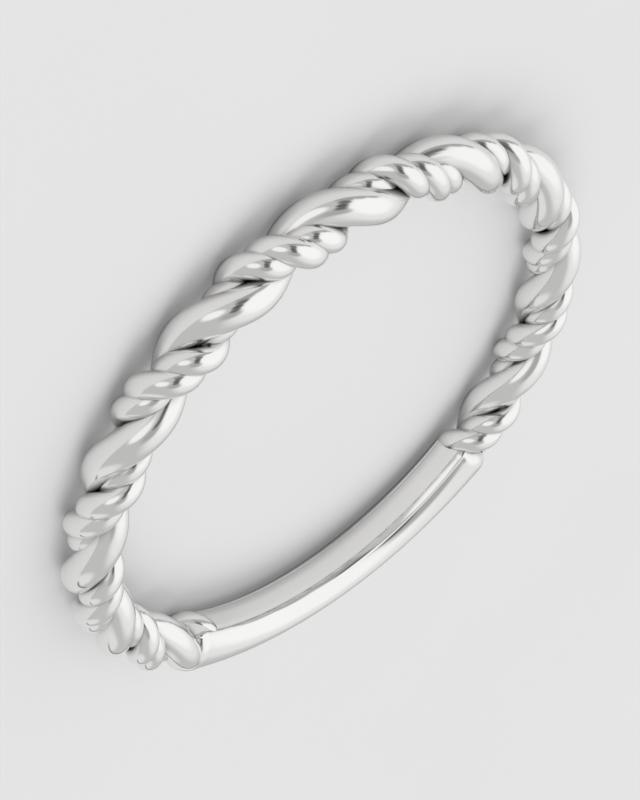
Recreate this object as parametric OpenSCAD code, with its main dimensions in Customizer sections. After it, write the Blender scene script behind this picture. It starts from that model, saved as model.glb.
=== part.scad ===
// Rope twist ring. A plain shank closes the back. Round the rest of the ring a smooth round strand is
// twisted with a rope, which is itself two thin wires twisted round each other.
// The ring lies on its side: the finger bore runs along +Z, the ring rests on z = 0, the middle of the
// twist faces -Y and the middle of the shank faces +Y. The origin is on the bore's axis. Millimetres.

/* [Finger bore] */
// Diameter of the finger bore: ring size 54, which is 54 mm round
bore_d = 17.2; // [15:0.1:21]

/* [Plain shank] */
// How far round the ring the shank runs, degrees
shank_arc = 83.6; // [50:0.1:110]
// Thickness of the shank at its middle, from the bore outward
shank_t = 1.36; // [1.2:0.01:1.7]
// Thickness of the shank at its ends
shank_end_t = 1.9; // [1.6:0.01:2.1]
// Width of the shank, along the finger
shank_w = 1.82; // [1.6:0.01:1.95]
// Width of the flat bore face of the shank
shank_flat_w = 0.54; // [0.4:0.01:0.8]
// Width of the bevel on each edge of that face
shank_bevel_w = 0.22; // [0.1:0.01:0.26]
// Depth of that bevel
shank_bevel_t = 0.05; // [0.03:0.01:0.12]

/* [Twist of the two strands] */
// Height of the twist's axis above the bore
twist_rise = 0.815; // [0.75:0.001:0.95]
// Length along the axis of one turn of the twist
twist_pitch = 4.627; // [4:0.001:6]
// Angle of the smooth strand round the axis at the middle of the twist, degrees
twist_turn = 35.1; // [0:0.1:360]

/* [Smooth strand] */
// Diameter of the smooth strand
smooth_d = 1.134; // [1:0.001:1.16]
// Distance of its centre from the twist's axis
smooth_off = 0.378; // [0.36:0.001:0.46]

/* [Rope of two wires] */
// Distance of the rope's centre from the twist's axis
rope_off = 0.318; // [0.3:0.001:0.42]
// Diameter of each wire of the rope
wire_d = 0.836; // [0.76:0.001:0.88]
// Distance of each wire's centre from the rope's own centre
wire_off = 0.246; // [0.22:0.001:0.27]
// Length along the axis of one turn of the wires
wire_pitch = 1.992; // [1.8:0.001:2.6]
// Angle of the first wire round the rope at the middle of the twist, degrees
wire_turn = 241.6; // [0:0.1:360]

/* [Clearances] */
// Gap between strands that lie against each other
strand_gap = 0.04; // [0.03:0.01:0.06]
// Gap between the strands' ends and the shank
end_gap = 0.05; // [0.03:0.01:0.1]

/* [Fineness] */
// Sides of the smooth strand
smooth_sides = 14; // [10:2:16]
// Sides of each wire
wire_sides = 8; // [6:1:9]
// Sections of the smooth strand in one turn of the twist
smooth_steps = 15; // [12:1:16]
// Sections of a wire in one turn of the rope
wire_steps = 12; // [10:1:12]
// Straight edges round half of the shank's outline
shank_edges = 14; // [10:1:16]
// Sections along the shank
shank_steps = 36; // [24:2:40]

/* [Hidden] */

bore_r = bore_d / 2;
axis_r = bore_r + twist_rise;
smooth_r = smooth_d / 2;
wire_r = wire_d / 2;
smooth_h = smooth_off + smooth_r;
rope_h = rope_off + wire_off + wire_r;

// Angles round the ring, counted from +X towards +Y; the twist runs from first_a to last_a
mid_a = 270;
end_a = end_gap / bore_r * 180 / PI;
half_twist_a = (360 - shank_arc) / 2 - end_a;
first_a = mid_a - half_twist_a;
last_a = mid_a + half_twist_a;

// Turns of each strand for one turn round the ring, with the lay of the photo
round_len = 2 * PI * axis_r;
twist_rate = -round_len / twist_pitch;
wire_rate = -round_len / wire_pitch;
smooth_n = ceil((last_a - first_a) / 360 * round_len / twist_pitch * smooth_steps);
wire_n = ceil((last_a - first_a) / 360 * round_len / wire_pitch * wire_steps);

// The twist's axis lies as high as its lowest strand reaches down
lift = max(smooth_h, rope_h, shank_w / 2);

// A section plane holds the points (distance from the bore's axis, height over the twist's axis).
// A strand is [centre, lean], where lean is how far its centre moves in the plane for each millimetre
// that it runs round the ring.
function dir(t) = [cos(t), sin(t)];
function side(t) = [-sin(t), cos(t)];
function twist_t(a) = twist_turn + (a - mid_a) * twist_rate;
function wire_t(a, start) = wire_turn + start + (a - mid_a) * wire_rate;
function smooth_at(a) =
    let(t = twist_t(a), c = [axis_r, 0] + smooth_off * dir(t))
    [c, smooth_off * twist_rate * side(t) / c.x];
function rope_at(a) = [axis_r, 0] - rope_off * dir(twist_t(a));
function wire_at(a, start) =
    let(t = wire_t(a, start), c = rope_at(a) + wire_off * dir(t))
    [c, (wire_off * wire_rate * side(t) - rope_off * twist_rate * side(twist_t(a))) / c.x];

// A point on a round strand, as [outward, round the ring, up] from the strand's own section plane
function on_strand(strand, t, r) =
    let(
        c = strand[0],
        lean = strand[1],
        along = [lean.x, 1, lean.y] / sqrt(1 + lean * lean),
        out = [1, 0, 0] - along.x * along,
        outward = out / norm(out)
    )
    [c.x, 0, c.y] + r * (cos(t) * outward + sin(t) * cross(outward, along));

// The point of a strand's section by the plane at angle a that lies at angle h round the section's
// centre. Its place s along the strand and its angle t round the strand are put right step by step.
section_steps = 12;
step_share = 0.6;
function cut_point(line, r, a, h, s, t, steps = section_steps) =
    let(
        p = on_strand(line(s), t, r),
        cut = [norm([p.x, p.y]), p.z],
        d = cut - line(a)[0],
        back = s - a + atan2(p.y, p.x),
        on = atan2(cross(d, dir(h)), d * dir(h))
    )
    steps == 0 ? cut : cut_point(line, r, a, h, s - step_share * back, t + step_share * on, steps - 1);

// Length from point o, along u, to the line whose points p have (p - base) * n = h
far = 100;
function to_line(o, u, base, n, h) =
    u * n < -0.001 ? ((o - base) * n - h) / -(u * n) : far;

function space(a, p) = [p.x * cos(a), p.x * sin(a), p.y + lift];

// The smooth strand's section
function smooth_section(a) =
    [for (i = [0 : smooth_sides - 1])
        let(h = 360 * i / smooth_sides)
        cut_point(function(s) smooth_at(s), smooth_r, a, h, a, h)];

function smooth_ring(a) = [for (p = smooth_section(a)) space(a, p)];

// A wire's section, cut where it lies against the smooth strand and against the other wire. Its points
// turn with the rope. The point that they are drawn round is kept clear of the smooth strand, and the
// cut between the wires is moved away from it, so that the wire that lies inmost keeps some thickness.
clear = 0.05;
share = 0.06;
function wire_ring(a, start) =
    let(
        w = wire_at(a, start)[0],
        s = smooth_at(a)[0],
        away = (w - s) / norm(w - s),
        reach = max([for (p = smooth_section(a)) (p - s) * away]) + strand_gap,
        o = w + away * max(0, reach + clear - norm(w - s)),
        across = dir(wire_t(a, start)),
        heart = rope_at(a) - share * dir(twist_t(a))
    )
    [for (i = [0 : wire_sides - 1])
        let(
            h = wire_t(a, start) + 360 * i / wire_sides,
            d = cut_point(function(s) wire_at(s, start), wire_r, a, h, a, h) - o,
            u = d / norm(d),
            t = min(
                norm(d),
                to_line(o, u, s, away, reach),
                to_line(o, u, heart, across, strand_gap / 2)
            )
        )
        space(a, o + t * u)];

// A closed solid through rings of points. With mirrored set, the four-sided faces on the side away from
// the first point of each ring are split along the other diagonal, so that two wires laid together
// meet face to face.
function sum(list, i = 0) = i == len(list) - 1 ? list[i] : list[i] + sum(list, i + 1);
function middle(ring) = sum(ring) / len(ring);
module through(rings, mirrored = false) {
    n = len(rings);
    m = len(rings[0]);
    points = [for (ring = rings) each ring, middle(rings[0]), middle(rings[n - 1])];
    sides = [for (k = [0 : n - 2], i = [0 : m - 1])
        let(a = k * m + i, b = k * m + (i + 1) % m, other = mirrored && cos(360 * (i + 0.5) / m) < 0)
        each other ? [[a, b, a + m], [b, b + m, a + m]] : [[a, b, b + m], [a, b + m, a + m]]];
    first_cap = [for (i = [0 : m - 1]) [n * m, (i + 1) % m, i]];
    last_cap = [for (i = [0 : m - 1]) [n * m + 1, (n - 1) * m + i, (n - 1) * m + (i + 1) % m]];
    polyhedron(points, concat(sides, first_cap, last_cap));
}

// The shank's outline at angle a: an oval whose inner side is cut off flat at the bore, with bevelled
// edges. It grows thicker from the shank's middle to its ends.
back_a = mid_a - 180;
function shank_outline(a) =
    let(
        from_middle = (a - back_a) / (shank_arc / 2),
        thickness = shank_t + (shank_end_t - shank_t) * from_middle ^ 2,
        half_w = shank_w / 2,
        flat_z = shank_flat_w / 2,
        bevel_z = flat_z + shank_bevel_w,
        cut = asin(bevel_z / half_w),
        half_t = (thickness - shank_bevel_t) / (1 + cos(cut)),
        centre_r = bore_r + thickness - half_t
    )
    concat(
        [[bore_r, -flat_z]],
        [for (i = [-shank_edges : shank_edges])
            let(t = i / shank_edges * (180 - cut))
            [centre_r + half_t * cos(t), half_w * sin(t)]],
        [[bore_r, flat_z]]
    );

function shank_ring(a) = [for (p = shank_outline(a)) space(a, p)];

module shank() {
    color("gainsboro")
    through([for (k = [0 : shank_steps]) shank_ring(back_a + shank_arc * (k / shank_steps - 0.5))]);
}

module smooth_strand() {
    color("whitesmoke")
    through([for (k = [0 : smooth_n]) smooth_ring(first_a + (last_a - first_a) * k / smooth_n)]);
}

module rope_wire(start, mirrored) {
    color("silver")
    through([for (k = [0 : wire_n]) wire_ring(first_a + (last_a - first_a) * k / wire_n, start)], mirrored);
}

module rope_wire_a() {
    rope_wire(0, false);
}

module rope_wire_b() {
    rope_wire(180, true);
}

shank();
smooth_strand();
rope_wire_a();
rope_wire_b();
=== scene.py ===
"""A polished rope twist ring that lies on its side on a plain pale floor."""
import math

import bpy
import numpy as np
from mathutils import Matrix, Vector


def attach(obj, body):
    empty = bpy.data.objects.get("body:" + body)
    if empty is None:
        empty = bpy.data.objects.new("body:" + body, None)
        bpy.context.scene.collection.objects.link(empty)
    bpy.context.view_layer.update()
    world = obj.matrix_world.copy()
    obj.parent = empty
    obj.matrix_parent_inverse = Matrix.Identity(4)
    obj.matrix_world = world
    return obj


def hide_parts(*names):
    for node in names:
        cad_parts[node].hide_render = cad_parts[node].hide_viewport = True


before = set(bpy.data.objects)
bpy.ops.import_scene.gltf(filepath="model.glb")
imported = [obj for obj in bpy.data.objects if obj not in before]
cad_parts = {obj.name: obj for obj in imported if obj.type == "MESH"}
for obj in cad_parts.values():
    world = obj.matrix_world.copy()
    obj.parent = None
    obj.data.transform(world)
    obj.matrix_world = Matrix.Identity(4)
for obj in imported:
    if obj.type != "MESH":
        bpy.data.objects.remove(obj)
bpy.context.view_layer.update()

# Sizes of the part in millimetres and degrees, as its source has them
BORE_R = 17.2 / 2
SHANK_ARC = 83.6
SHANK_T = 1.36
SHANK_END_T = 1.9
SHANK_W = 1.82
SHANK_FLAT_W = 0.54
SHANK_BEVEL_W = 0.22
SHANK_BEVEL_T = 0.05
TWIST_RISE = 0.815
TWIST_PITCH = 4.627
TWIST_TURN = 35.1
SMOOTH_R = 1.134 / 2
SMOOTH_OFF = 0.378
ROPE_OFF = 0.318
WIRE_R = 0.836 / 2
WIRE_OFF = 0.246
WIRE_PITCH = 1.992
WIRE_TURN = 241.6

AXIS_R = BORE_R + TWIST_RISE
LIFT = max(SMOOTH_OFF + SMOOTH_R, ROPE_OFF + WIRE_OFF + WIRE_R, SHANK_W / 2)
MID_A = math.radians(270)
BACK_A = MID_A - math.pi
HALF_TWIST = (360 - SHANK_ARC) / 2
ROUND_LEN = 2 * math.pi * AXIS_R
TWIST_RATE = -ROUND_LEN / TWIST_PITCH
WIRE_RATE = -ROUND_LEN / WIRE_PITCH

# A millimetre in the scene's unit, the metre
MM = 0.001

# The strands are soldered into the shank. Columns: how far each runs on into it at its first and at
# its last end, in degrees round the ring
RUN_ON = {
    "smooth_strand": (0.3, 5.5),
    "rope_wire_a": (0.3, 6.6),
    "rope_wire_b": (4.0, 6.6),
}
# The strands' last ends are round. Size of the flat that such an end keeps, as a share of the strand
END_FLAT = 0.05
# The shank's ends by the strands' last and first ends. Columns: length over which the end is rounded,
# in millimetres, and how far it runs on under the strands, in degrees round the ring
SHANK_ENDS = ((0.5, 0.5), (0.55, 1.1))
# Length of the small curve in place of each corner of the shank's outline, to each side of the corner
CORNER_R = 0.09

# Fineness of the meshes: points round a section, and sections along a piece
SMOOTH_SIDES = 72
SMOOTH_RINGS = 1100
WIRE_SIDES = 48
WIRE_RINGS = 1600
SHANK_SIDES = 48
CORNER_STEPS = 6
SHANK_RINGS = 240
SHANK_END_RINGS = 12


# Strands. Their centre lines and the shank's outline are given in planes through the bore's axis, as
# (distance from that axis, height over the twist's axis). A line's lean is how far it moves in the
# plane for each millimetre that it runs round the ring.

def direction(t):
    return np.stack([np.cos(t), np.sin(t)], -1)


def sideways(t):
    return np.stack([-np.sin(t), np.cos(t)], -1)


def twist_angle(a):
    return math.radians(TWIST_TURN) + (a - MID_A) * TWIST_RATE


def wire_angle(a, start):
    return math.radians(WIRE_TURN + start) + (a - MID_A) * WIRE_RATE


def smooth_line(a):
    t = twist_angle(a)
    centre = np.array([AXIS_R, 0]) + SMOOTH_OFF * direction(t)
    return centre, SMOOTH_OFF * TWIST_RATE * sideways(t) / centre[..., :1]


def rope_line(a):
    return np.array([AXIS_R, 0]) - ROPE_OFF * direction(twist_angle(a))


def wire_line(a, start):
    t = wire_angle(a, start)
    centre = rope_line(a) + WIRE_OFF * direction(t)
    moved = WIRE_OFF * WIRE_RATE * sideways(t) - ROPE_OFF * TWIST_RATE * sideways(twist_angle(a))
    return centre, moved / centre[..., :1]


def dot(p, q):
    return (p * q).sum(-1, keepdims=True)


def unit(v):
    return v / np.linalg.norm(v, axis=-1, keepdims=True)


def in_space(a, flat):
    """Points of the planes at angles a, as points in metres."""
    r, z = flat[..., 0], flat[..., 1]
    return np.stack([r * np.cos(a), r * np.sin(a), z + LIFT], -1) * MM


def strand_rings(name, line, count, sides, radius):
    """Circles square to a strand's centre line, which close to a dome at its last end."""
    before, after = RUN_ON[name]
    first, last = math.radians(-HALF_TWIST - before), math.radians(HALF_TWIST + after)
    a = MID_A + np.linspace(first, last, count)[:, None]
    centre, lean = line(a)
    zero = np.zeros_like(a)
    out = np.concatenate([np.cos(a), np.sin(a), zero], -1)
    on = np.concatenate([-np.sin(a), np.cos(a), zero], -1)
    up = np.concatenate([zero, zero, zero + 1], -1)
    along = unit(lean[..., 0, :1] * out + on + lean[..., 0, 1:] * up)
    outward = unit(out - dot(out, along) * along)
    upward = np.cross(outward, along)
    t = np.arange(sides) * 2 * math.pi / sides
    ring = np.cos(t)[:, None] * outward[:, None] + np.sin(t)[:, None] * upward[:, None]
    points = in_space(a, centre)[:, 0]
    ahead = np.linalg.norm(points[-1] - points, axis=-1) / MM / radius
    into_end = np.clip(1 - ahead, 0, 1)
    size = np.sqrt(np.maximum(1 - into_end ** 2, END_FLAT ** 2))
    return points[:, None] + radius * MM * size[:, None, None] * ring


def smooth_rings():
    return strand_rings("smooth_strand", smooth_line, SMOOTH_RINGS, SMOOTH_SIDES, SMOOTH_R)


def wire_rings(name, start):
    return strand_rings(name, lambda a: wire_line(a, start), WIRE_RINGS, WIRE_SIDES, WIRE_R)


# Shank

def rounded(before, corner, after):
    """Points on a small curve in place of a corner."""
    s = np.linspace(0, 1, CORNER_STEPS)[:, None]
    return (1 - s) ** 2 * before + 2 * s * (1 - s) * corner + s ** 2 * after


def shank_outline(thickness):
    """An oval that is cut off flat at the bore, with bevelled edges, and the oval's own centre."""
    half_w, flat_z = SHANK_W / 2, SHANK_FLAT_W / 2
    bevel_z = flat_z + SHANK_BEVEL_W
    cut = math.asin(bevel_z / half_w)
    half_t = (thickness - SHANK_BEVEL_T) / (1 + math.cos(cut))
    heart = np.array([BORE_R + thickness - half_t, 0])
    last = math.pi - cut
    t = np.linspace(0, last - CORNER_R / half_w, SHANK_SIDES)
    oval = heart + np.stack([half_t * np.cos(t), half_w * np.sin(t)], -1)
    high, low = np.array([BORE_R + SHANK_BEVEL_T, bevel_z]), np.array([BORE_R, flat_z])
    down = CORNER_R * unit(low - high)
    half = np.concatenate([
        oval,
        rounded(oval[-1], high, high + down),
        rounded(low - down, low, low - [0, CORNER_R]),
        [[BORE_R, flat_z / 2]],
    ])
    return heart, np.concatenate([half, half[:0:-1] * [1, -1]])


def shank_rings():
    """The outline at each angle, which grows thicker towards the ends and shrinks round at them."""
    half = math.radians(SHANK_ARC / 2)
    quarter = np.linspace(0, math.pi / 2, SHANK_END_RINGS)
    offs, sizes, inner = [], [], []
    for end_round, run_on in SHANK_ENDS:
        lean_in = end_round / AXIS_R
        inner.append(half + math.radians(run_on) - lean_in)
        offs.append(inner[-1] + lean_in * np.sin(quarter))
        sizes.append(1 - end_round / (SHANK_END_T / 2) * (1 - np.cos(quarter)))
    between = np.linspace(-inner[0], inner[1], SHANK_RINGS)[1:-1]
    off = np.concatenate([-offs[0][::-1], between, offs[1]])
    size = np.concatenate([sizes[0][::-1], np.ones_like(between), sizes[1]])
    flat = []
    for from_middle, share in zip(off / half, size):
        heart, outline = shank_outline(SHANK_T + (SHANK_END_T - SHANK_T) * from_middle ** 2)
        flat.append(heart + share * (outline - heart))
    return in_space(BACK_A + off[:, None], np.array(flat))


# Objects

def placed(name, data):
    """An object of the scene that shows the data."""
    thing = bpy.data.objects.new(name, data)
    bpy.context.scene.collection.objects.link(thing)
    return thing


def swept(node, rings, material):
    """A closed piece through rings of points, which stands for a node of the part."""
    n, m = rings.shape[:2]
    index = np.arange(n * m).reshape(n, m)
    onward = np.roll(index, -1, axis=1)
    quads = np.stack([index[:-1], index[1:], onward[1:], onward[:-1]], -1).reshape(-1, 4)
    caps = [index[0].tolist(), index[-1][::-1].tolist()]
    mesh = bpy.data.meshes.new(node + "_piece")
    mesh.from_pydata(rings.reshape(-1, 3).tolist(), [], quads.tolist() + caps)
    mesh.validate()
    mesh.polygons.foreach_set("use_smooth", [True] * len(quads) + [False] * len(caps))
    mesh.materials.append(material)
    piece = placed(node + "_piece", mesh)
    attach(piece, "root")
    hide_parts(node)


# Helpers for the node trees of the materials and of the room

def noise(nodes, links, scale, detail):
    """A cloudy value between 0 and 1 that is fixed to the object."""
    place = nodes.new("ShaderNodeTexCoord")
    texture = nodes.new("ShaderNodeTexNoise")
    texture.inputs["Scale"].default_value = scale
    texture.inputs["Detail"].default_value = detail
    links.new(place.outputs["Object"], texture.inputs["Vector"])
    return texture.outputs["Fac"]


def mapped(nodes, links, source, low, high):
    """A value that runs from low to high where the source runs from 0 to 1."""
    spread = nodes.new("ShaderNodeMapRange")
    spread.inputs["To Min"].default_value = low
    spread.inputs["To Max"].default_value = high
    links.new(source, spread.inputs["Value"])
    return spread.outputs["Result"]


def smooth_step(nodes, links, source, low, high):
    """A value that goes softly from 0 to 1 where the source runs from low to high."""
    step = nodes.new("ShaderNodeMapRange")
    step.interpolation_type = "SMOOTHSTEP"
    step.inputs["From Min"].default_value = low
    step.inputs["From Max"].default_value = high
    links.new(source, step.inputs["Value"])
    return step.outputs["Result"]


def toned(nodes, links, source, tones):
    """A colour between two tones."""
    ramp = nodes.new("ShaderNodeValToRGB")
    for element, tone in zip(ramp.color_ramp.elements, tones):
        element.color = tone
    links.new(source, ramp.inputs["Fac"])
    return ramp.outputs["Color"]


def painted(nodes, links, under, share, brightness):
    """A brightness laid over another by a share from 0 to 1."""
    mix = nodes.new("ShaderNodeMix")
    mix.data_type = "FLOAT"
    links.new(share, mix.inputs["Factor"])
    links.new(under, mix.inputs["A"])
    mix.inputs["B"].default_value = brightness
    return mix.outputs["Result"]


def product(nodes, links, a, b):
    times = nodes.new("ShaderNodeMath")
    times.operation = "MULTIPLY"
    links.new(a, times.inputs[0])
    links.new(b, times.inputs[1])
    return times.outputs["Value"]


# Materials. Each noise is given by its scale, per metre, and its detail

WHITE = (1, 1, 1, 1)

METAL_HAZE = (900.0, 4.0)
METAL_ROUGHNESS = (0.06, 0.13)
METAL_CLOUD = (250.0, 2.0)
METAL_TONES = ((0.83, 0.825, 0.815, 1), (0.89, 0.885, 0.875, 1))
METAL_RIPPLE = (600.0, 1.0)
RIPPLE_STRENGTH = 0.05
RIPPLE_HEIGHT = 0.02 * MM
# Creases narrower than this get shade painted into the metal's colour, darkest where least of the sky
# is in view
CREASE_SHADE_WIDTH = 0.5 * MM
CREASE_SHADE_SAMPLES = 8
# Colour of the painted shade in the creases
PAINTED_CREASE_SHADE = (0.12, 0.12, 0.12, 1)
# Share of the sky in view at which the painted crease shade is full, and at which the metal shows none
# of it
CREASE_SHADE_SKY = (0.18, 0.9)

FLOOR_SIZE = 1.2
FLOOR_GRAIN = (60.0, 3.0)
FLOOR_TONES = ((0.51, 0.51, 0.51, 1), (0.54, 0.54, 0.54, 1))
FLOOR_ROUGHNESS = 0.7
FLOOR_PAINTED_GLOW = 0.16


def node_material(name):
    material = bpy.data.materials.new(name)
    material.use_nodes = True
    nodes = material.node_tree.nodes
    return material, nodes, material.node_tree.links, nodes["Principled BSDF"]


def polished_metal(name):
    """White precious metal with the slight unevenness that a polishing mop leaves, and with shade
    painted into its narrow creases.
    """
    material, nodes, links, shader = node_material(name)
    shader.inputs["Metallic"].default_value = 1.0
    haze = noise(nodes, links, *METAL_HAZE)
    links.new(mapped(nodes, links, haze, *METAL_ROUGHNESS), shader.inputs["Roughness"])
    # Painted shade: the colour goes dark in narrow creases, where little of the sky is in view
    open_sky = nodes.new("ShaderNodeAmbientOcclusion")
    open_sky.samples = CREASE_SHADE_SAMPLES
    open_sky.inputs["Distance"].default_value = CREASE_SHADE_WIDTH
    painted_crease_shade = nodes.new("ShaderNodeMix")
    painted_crease_shade.data_type = "RGBA"
    links.new(smooth_step(nodes, links, open_sky.outputs["AO"], *CREASE_SHADE_SKY), painted_crease_shade.inputs["Factor"])
    painted_crease_shade.inputs["A"].default_value = PAINTED_CREASE_SHADE
    cloud = noise(nodes, links, *METAL_CLOUD)
    links.new(toned(nodes, links, cloud, METAL_TONES), painted_crease_shade.inputs["B"])
    links.new(painted_crease_shade.outputs["Result"], shader.inputs["Base Color"])
    bump = nodes.new("ShaderNodeBump")
    bump.inputs["Strength"].default_value = RIPPLE_STRENGTH
    bump.inputs["Distance"].default_value = RIPPLE_HEIGHT
    links.new(noise(nodes, links, *METAL_RIPPLE), bump.inputs["Height"])
    links.new(bump.outputs["Normal"], shader.inputs["Normal"])
    return material


def pale_floor(name):
    """A pale table top that glows a little by itself, as a table lit from below for pictures of jewels
    would; the glow is painted light that lightens the ring's shadow on it.
    """
    material, nodes, links, shader = node_material(name)
    shader.inputs["Emission Color"].default_value = WHITE
    # Painted light: an even glow of the floor's own, which lightens the shade that the ring casts on it
    shader.inputs["Emission Strength"].default_value = FLOOR_PAINTED_GLOW
    shader.inputs["Roughness"].default_value = FLOOR_ROUGHNESS
    grain = noise(nodes, links, *FLOOR_GRAIN)
    links.new(toned(nodes, links, grain, FLOOR_TONES), shader.inputs["Base Color"])
    return material


def make_floor():
    mesh = bpy.data.meshes.new("floor")
    corners = [(-1, -1), (1, -1), (1, 1), (-1, 1)]
    mesh.from_pydata([(x * FLOOR_SIZE, y * FLOOR_SIZE, 0) for x, y in corners], [], [(0, 1, 2, 3)])
    mesh.materials.append(pale_floor("pale_floor"))
    placed("floor", mesh)


# The camera stands where the photograph was taken from, turned about its own axis as there. Angles in
# radians: azimuth and elevation of the camera from the ring, and its turn

CAMERA_AWAY = 75.05 * MM
CAMERA_ROUND = math.radians(297.6)
CAMERA_UP = 0.4595
CAMERA_ROLL = 2.3256
PIXELS_PER_MM = 32.049
IMAGE_H = 800
SENSOR = 36.0
# How far beside the ring's middle the camera aims, to the right and up, in pixels
AIM_RIGHT_PX = -13.5
AIM_UP_PX = 13.01
CLIP_START = 0.002
CLIP_END = 5


def make_camera():
    back = Vector((
        math.cos(CAMERA_UP) * math.cos(CAMERA_ROUND),
        math.cos(CAMERA_UP) * math.sin(CAMERA_ROUND),
        math.sin(CAMERA_UP),
    ))
    level = Vector((-math.sin(CAMERA_ROUND), math.cos(CAMERA_ROUND), 0))
    upward = back.cross(level)
    right = math.cos(CAMERA_ROLL) * level + math.sin(CAMERA_ROLL) * upward
    up = math.cos(CAMERA_ROLL) * upward - math.sin(CAMERA_ROLL) * level
    middle = Vector((0, 0, LIFT * MM))
    place = middle + back * CAMERA_AWAY
    aim = middle + (AIM_RIGHT_PX * right + AIM_UP_PX * up) * MM / PIXELS_PER_MM
    axis_z = (place - aim).normalized()
    axis_x = (right - right.dot(axis_z) * axis_z).normalized()
    axis_y = axis_z.cross(axis_x)
    data = bpy.data.cameras.new("camera")
    data.sensor_width = SENSOR
    data.lens = PIXELS_PER_MM * CAMERA_AWAY / MM * SENSOR / IMAGE_H
    data.clip_start = CLIP_START
    data.clip_end = CLIP_END
    camera = placed("camera", data)
    turn = Matrix((axis_x, axis_y, axis_z)).transposed().to_4x4()
    camera.matrix_world = Matrix.Translation(place) @ turn
    bpy.context.scene.camera = camera


# The studio round the ring: soft-edged patches of light and shade, each painted over those before it.
# Columns: what it is, azimuth, elevation, radius of the full patch, radius where it has faded, all in
# degrees, and brightness

ROOM_BRIGHTNESS = 0.58
PATCHES = [
    ("lamp overhead", 187, 50, 42, 72, 0.88),
    ("heart of that lamp", 202, 45, 26, 50, 1.06),
    ("lamp by the camera", 305, 20, 12, 23, 1.0),
    ("pale wall opposite", 51, 12, 12, 28, 0.82),
    ("dim corner over the camera", 300, 62, 8, 22, 0.44),
    ("shade under the lamp, left", 207, -2, 8, 16, 0.46),
    ("shade under the lamp, middle", 227, 2, 9, 17, 0.44),
    ("shade under the lamp, right", 249, 8, 9, 16, 0.4),
    ("dark stand, foot", 256, 23, 5, 13, 0.17),
    ("dark stand, middle", 267, 37, 5, 12, 0.11),
    ("dark stand, head", 277, 49, 4, 12, 0.15),
]
# A narrow dark gap between the table and what is behind it: its azimuth, reach to each side and height
# in degrees, its brightness, the share of its reach that is full, and where it has faded, as a share of
# its height
GAP_AZIMUTH = 89
GAP_REACH = 45
GAP_HEIGHT = 3.0
GAP_BRIGHTNESS = 0.2
GAP_FULL = 0.7
GAP_FADED = 1.3

# The lamp over the table: strength, and spread, azimuth and elevation in degrees
LAMP_STRENGTH = 1.6
LAMP_SPREAD = 50
LAMP_AZIMUTH = 48
LAMP_ELEVATION = 52


def toward(azimuth, elevation):
    a, e = math.radians(azimuth), math.radians(elevation)
    return (math.cos(e) * math.cos(a), math.cos(e) * math.sin(a), math.sin(e))


def near_direction(nodes, links, view, azimuth, elevation, inner, outer):
    """1 within inner degrees of a direction, fading to 0 at outer degrees."""
    facing = nodes.new("ShaderNodeVectorMath")
    facing.operation = "DOT_PRODUCT"
    facing.inputs[1].default_value = toward(azimuth, elevation)
    links.new(view, facing.inputs[0])
    low, high = math.cos(math.radians(outer)), math.cos(math.radians(inner))
    return smooth_step(nodes, links, facing.outputs["Value"], low, high)


def make_room():
    world = bpy.data.worlds.new("studio")
    world.use_nodes = True
    nodes, links = world.node_tree.nodes, world.node_tree.links
    view = nodes.new("ShaderNodeTexCoord").outputs["Generated"]
    room = nodes.new("ShaderNodeValue")
    room.outputs["Value"].default_value = ROOM_BRIGHTNESS
    light = room.outputs["Value"]
    for _, azimuth, elevation, inner, outer, brightness in PATCHES:
        share = near_direction(nodes, links, view, azimuth, elevation, inner, outer)
        light = painted(nodes, links, light, share, brightness)
    height = nodes.new("ShaderNodeSeparateXYZ")
    links.new(view, height.inputs["Vector"])
    top = math.sin(math.radians(GAP_HEIGHT))
    low_down = smooth_step(nodes, links, height.outputs["Z"], top * GAP_FADED, top)
    behind = near_direction(nodes, links, view, GAP_AZIMUTH, 0, GAP_REACH * GAP_FULL, GAP_REACH)
    light = painted(nodes, links, light, product(nodes, links, low_down, behind), GAP_BRIGHTNESS)
    links.new(light, nodes["Background"].inputs["Strength"])
    nodes["Background"].inputs["Color"].default_value = WHITE
    bpy.context.scene.world = world
    bpy.context.scene.view_settings.view_transform = "Standard"


def make_lamp():
    """A broad soft lamp that lights the floor and leaves no picture of itself in the metal."""
    data = bpy.data.lights.new("soft_lamp", "SUN")
    data.energy = LAMP_STRENGTH
    data.angle = math.radians(LAMP_SPREAD)
    lamp = placed("soft_lamp", data)
    aim = Vector(toward(LAMP_AZIMUTH, LAMP_ELEVATION)).to_track_quat("Z", "Y")
    lamp.rotation_euler = aim.to_euler()
    lamp.visible_glossy = False


metal = polished_metal("polished_white_metal")
swept("shank", shank_rings(), metal)
swept("smooth_strand", smooth_rings(), metal)
swept("rope_wire_a", wire_rings("rope_wire_a", 0), metal)
swept("rope_wire_b", wire_rings("rope_wire_b", 180), metal)
make_floor()
make_room()
make_lamp()
make_camera()
bpy.context.view_layer.update()
